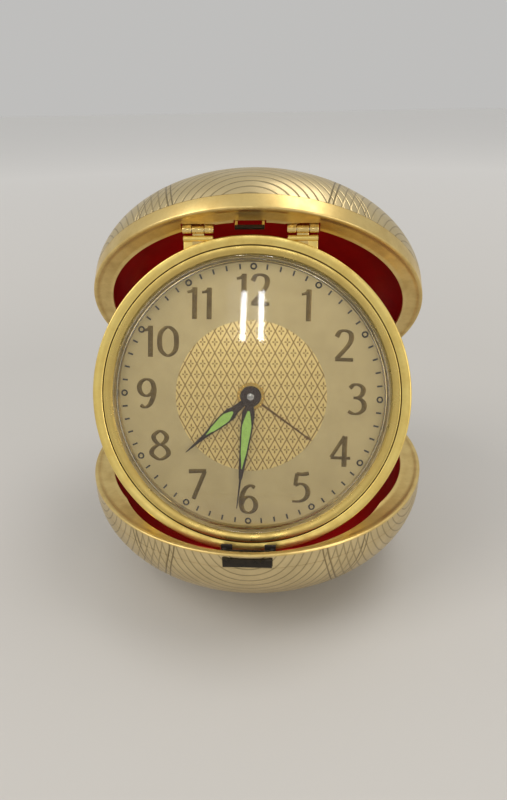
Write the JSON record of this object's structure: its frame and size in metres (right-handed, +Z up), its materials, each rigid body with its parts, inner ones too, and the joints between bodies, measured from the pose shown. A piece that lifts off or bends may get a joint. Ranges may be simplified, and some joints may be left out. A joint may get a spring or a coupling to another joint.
{
  "type": "folding travel alarm clock",
  "caption": "Folding travel alarm clock: two domed halves on a back hinge, the clock head hinged in the lid, a press latch in front, and keys and knobs on its back.",
  "frame": {"origin": "centre of the flat foot of the lower half, on the surface it stands on", "axes": "+Z up; the dial faces -Y; the case hinge runs along X at the back"},
  "size_m": [0.076, 0.0837, 0.0879],
  "materials": {
    "alarm_gold": "satin gold",
    "black_plastic": "glossy black",
    "brass": "bright brass",
    "case_brass": "gold-plated case",
    "crystal": "clear domed acrylic",
    "dark_steel": "blued spring steel",
    "dial": "satin champagne dial",
    "dial_ring": "bright reflector ring",
    "gold": "polished yellow gold plate",
    "hand_dark": "dark brown paint with green luminous filling",
    "lining": "deep red flocked lining",
    "shell": "satin champagne gold plate with engine-turned arcs",
    "steel": "plain steel"
  },
  "bodies": {
    "base": {"lower_shell": "shell", "lower_rim": "gold", "lower_lining": "lining", "base_hinge": "gold", "hinge_pin": "steel", "latch_bracket": "steel", "latch_spring": "steel"},
    "latch": {"latch_button": "black_plastic"},
    "lid": {"upper_shell": "shell", "upper_rim": "gold", "upper_lining": "lining", "lid_hinge": "gold", "lid_catch": "dark_steel", "head_brackets": "brass", "head_hinge_pins": "steel"},
    "head": {"back_cover": "case_brass", "bezel": "gold", "cover_posts": "brass", "cover_screws": "steel", "crystal": "crystal", "dial": "dial", "dial_ring": "dial_ring", "drum": "case_brass", "front_plate": "brass", "head_knuckles": "brass", "plate_pillars": "brass", "rear_plate": "brass"},
    "minute": {"centre_wheel": "brass", "cannon_pinion": "brass", "minute_hand": "hand_dark", "time_set_knob": "brass"},
    "minute_wheel": {"minute_wheel": "brass"},
    "hour": {"hour_wheel": "brass", "hour_hand": "hand_dark"},
    "alarm": {"alarm_wheel": "brass", "alarm_hand": "alarm_gold"},
    "alarm_knob": {"alarm_set_knob": "brass"},
    "time_winder": {"time_key": "brass"},
    "alarm_winder": {"alarm_key": "brass"},
    "time_barrel": {"time_barrel": "brass", "time_mainspring": "steel"},
    "alarm_barrel": {"alarm_barrel": "brass", "alarm_mainspring": "steel"},
    "third": {"third_wheel": "brass"},
    "fourth": {"fourth_wheel": "brass"},
    "escape": {"escape_wheel": "brass"},
    "pallet": {"pallet_lever": "steel"},
    "balance": {"balance_wheel": "brass", "hairspring": "steel"},
    "hammer": {"alarm_hammer": "steel"},
    "stop": {"alarm_stop": "steel"},
    "regulator": {"regulator": "steel"}
  },
  "joints": [
    {"name": "lid_fold", "type": "hinge", "parent": "base", "child": "lid", "pos_m": [0, 0.0393, 0.0246], "axis": [1, 0, 0], "range_deg": [0, 48.8]},
    {"name": "head_fold", "type": "hinge", "parent": "lid", "child": "head", "pos_m": [0, -0.0083, 0.07786], "axis": [1, 0, 0], "range_deg": [0, 61.6]},
    {"name": "latch_press", "type": "slide", "parent": "base", "child": "latch", "axis": [0, 1, 0], "range_m": [0, 0.0009], "stiffness_N_per_m": 400, "deforming": ["latch_spring"]},
    {"name": "minute_turn", "type": "hinge", "parent": "head", "child": "minute", "pos_m": [0, -0.0191, 0.0476], "axis": [0, 0.9373, -0.3486], "continuous": true},
    {"name": "minute_wheel_turn", "type": "hinge", "parent": "head", "child": "minute_wheel", "pos_m": [0.00648, -0.01827, 0.04981], "axis": [0, 0.9373, -0.3486], "continuous": true},
    {"name": "hour_turn", "type": "hinge", "parent": "head", "child": "hour", "pos_m": [0, -0.0191, 0.0476], "axis": [0, 0.9373, -0.3486], "continuous": true},
    {"name": "alarm_turn", "type": "hinge", "parent": "head", "child": "alarm", "pos_m": [0, -0.0191, 0.0476], "axis": [0, 0.9373, -0.3486], "continuous": true},
    {"name": "alarm_knob_turn", "type": "hinge", "parent": "head", "child": "alarm_knob", "pos_m": [0, -0.02293, 0.03729], "axis": [0, 0.9373, -0.3486], "continuous": true},
    {"name": "time_winding", "type": "hinge", "parent": "head", "child": "time_winder", "pos_m": [-0.007, -0.02119, 0.04198], "axis": [0, 0.9373, -0.3486], "continuous": true},
    {"name": "alarm_winding", "type": "hinge", "parent": "head", "child": "alarm_winder", "pos_m": [0.007, -0.02119, 0.04198], "axis": [0, 0.9373, -0.3486], "continuous": true},
    {"name": "time_barrel_turn", "type": "hinge", "parent": "head", "child": "time_barrel", "pos_m": [-0.007, -0.02119, 0.04198], "axis": [0, 0.9373, -0.3486], "continuous": true},
    {"name": "alarm_barrel_turn", "type": "hinge", "parent": "head", "child": "alarm_barrel", "pos_m": [0.007, -0.02119, 0.04198], "axis": [0, 0.9373, -0.3486], "continuous": true},
    {"name": "third_turn", "type": "hinge", "parent": "head", "child": "third", "pos_m": [-0.00719, -0.01765, 0.05149], "axis": [0, 0.9373, -0.3486], "continuous": true},
    {"name": "fourth_turn", "type": "hinge", "parent": "head", "child": "fourth", "pos_m": [-0.00601, -0.01532, 0.05777], "axis": [0, 0.9373, -0.3486], "continuous": true},
    {"name": "escape_turn", "type": "hinge", "parent": "head", "child": "escape", "pos_m": [-0.00028, -0.01459, 0.05972], "axis": [0, 0.9373, -0.3486], "continuous": true},
    {"name": "pallet_swing", "type": "hinge", "parent": "head", "child": "pallet", "pos_m": [0.0049, -0.01439, 0.06025], "axis": [0, 0.9373, -0.3486], "range_deg": [-6, 6]},
    {"name": "balance_swing", "type": "hinge", "parent": "head", "child": "balance", "pos_m": [0.011, -0.01596, 0.05603], "axis": [0, 0.9373, -0.3486], "range_deg": [-110, 110]},
    {"name": "hammer_swing", "type": "hinge", "parent": "head", "child": "hammer", "pos_m": [0.0145, -0.02276, 0.03776], "axis": [0, 0.9373, -0.3486], "range_deg": [-8, 8]},
    {"name": "stop_press", "type": "slide", "parent": "head", "child": "stop", "axis": [0, -0.9373, 0.3486], "range_m": [0, 0.0012], "stiffness_N_per_m": 200},
    {"name": "regulator_swing", "type": "hinge", "parent": "head", "child": "regulator", "pos_m": [0.011, -0.01596, 0.05603], "axis": [0, 0.9373, -0.3486], "range_deg": [-20, 20]}
  ],
  "couplings": [
    {"joint": "head_fold", "follows": "lid_fold", "ratio": 1.2623},
    {"joint": "minute_wheel_turn", "follows": "minute_turn", "ratio": -0.33333},
    {"joint": "hour_turn", "follows": "minute_turn", "ratio": 0.083333},
    {"joint": "time_barrel_turn", "follows": "minute_turn", "ratio": -0.4},
    {"joint": "third_turn", "follows": "minute_turn", "ratio": -5.8333},
    {"joint": "fourth_turn", "follows": "minute_turn", "ratio": 29.697},
    {"joint": "escape_turn", "follows": "minute_turn", "ratio": -148.48},
    {"joint": "alarm_knob_turn", "follows": "alarm_turn", "ratio": -3.3333}
  ]
}
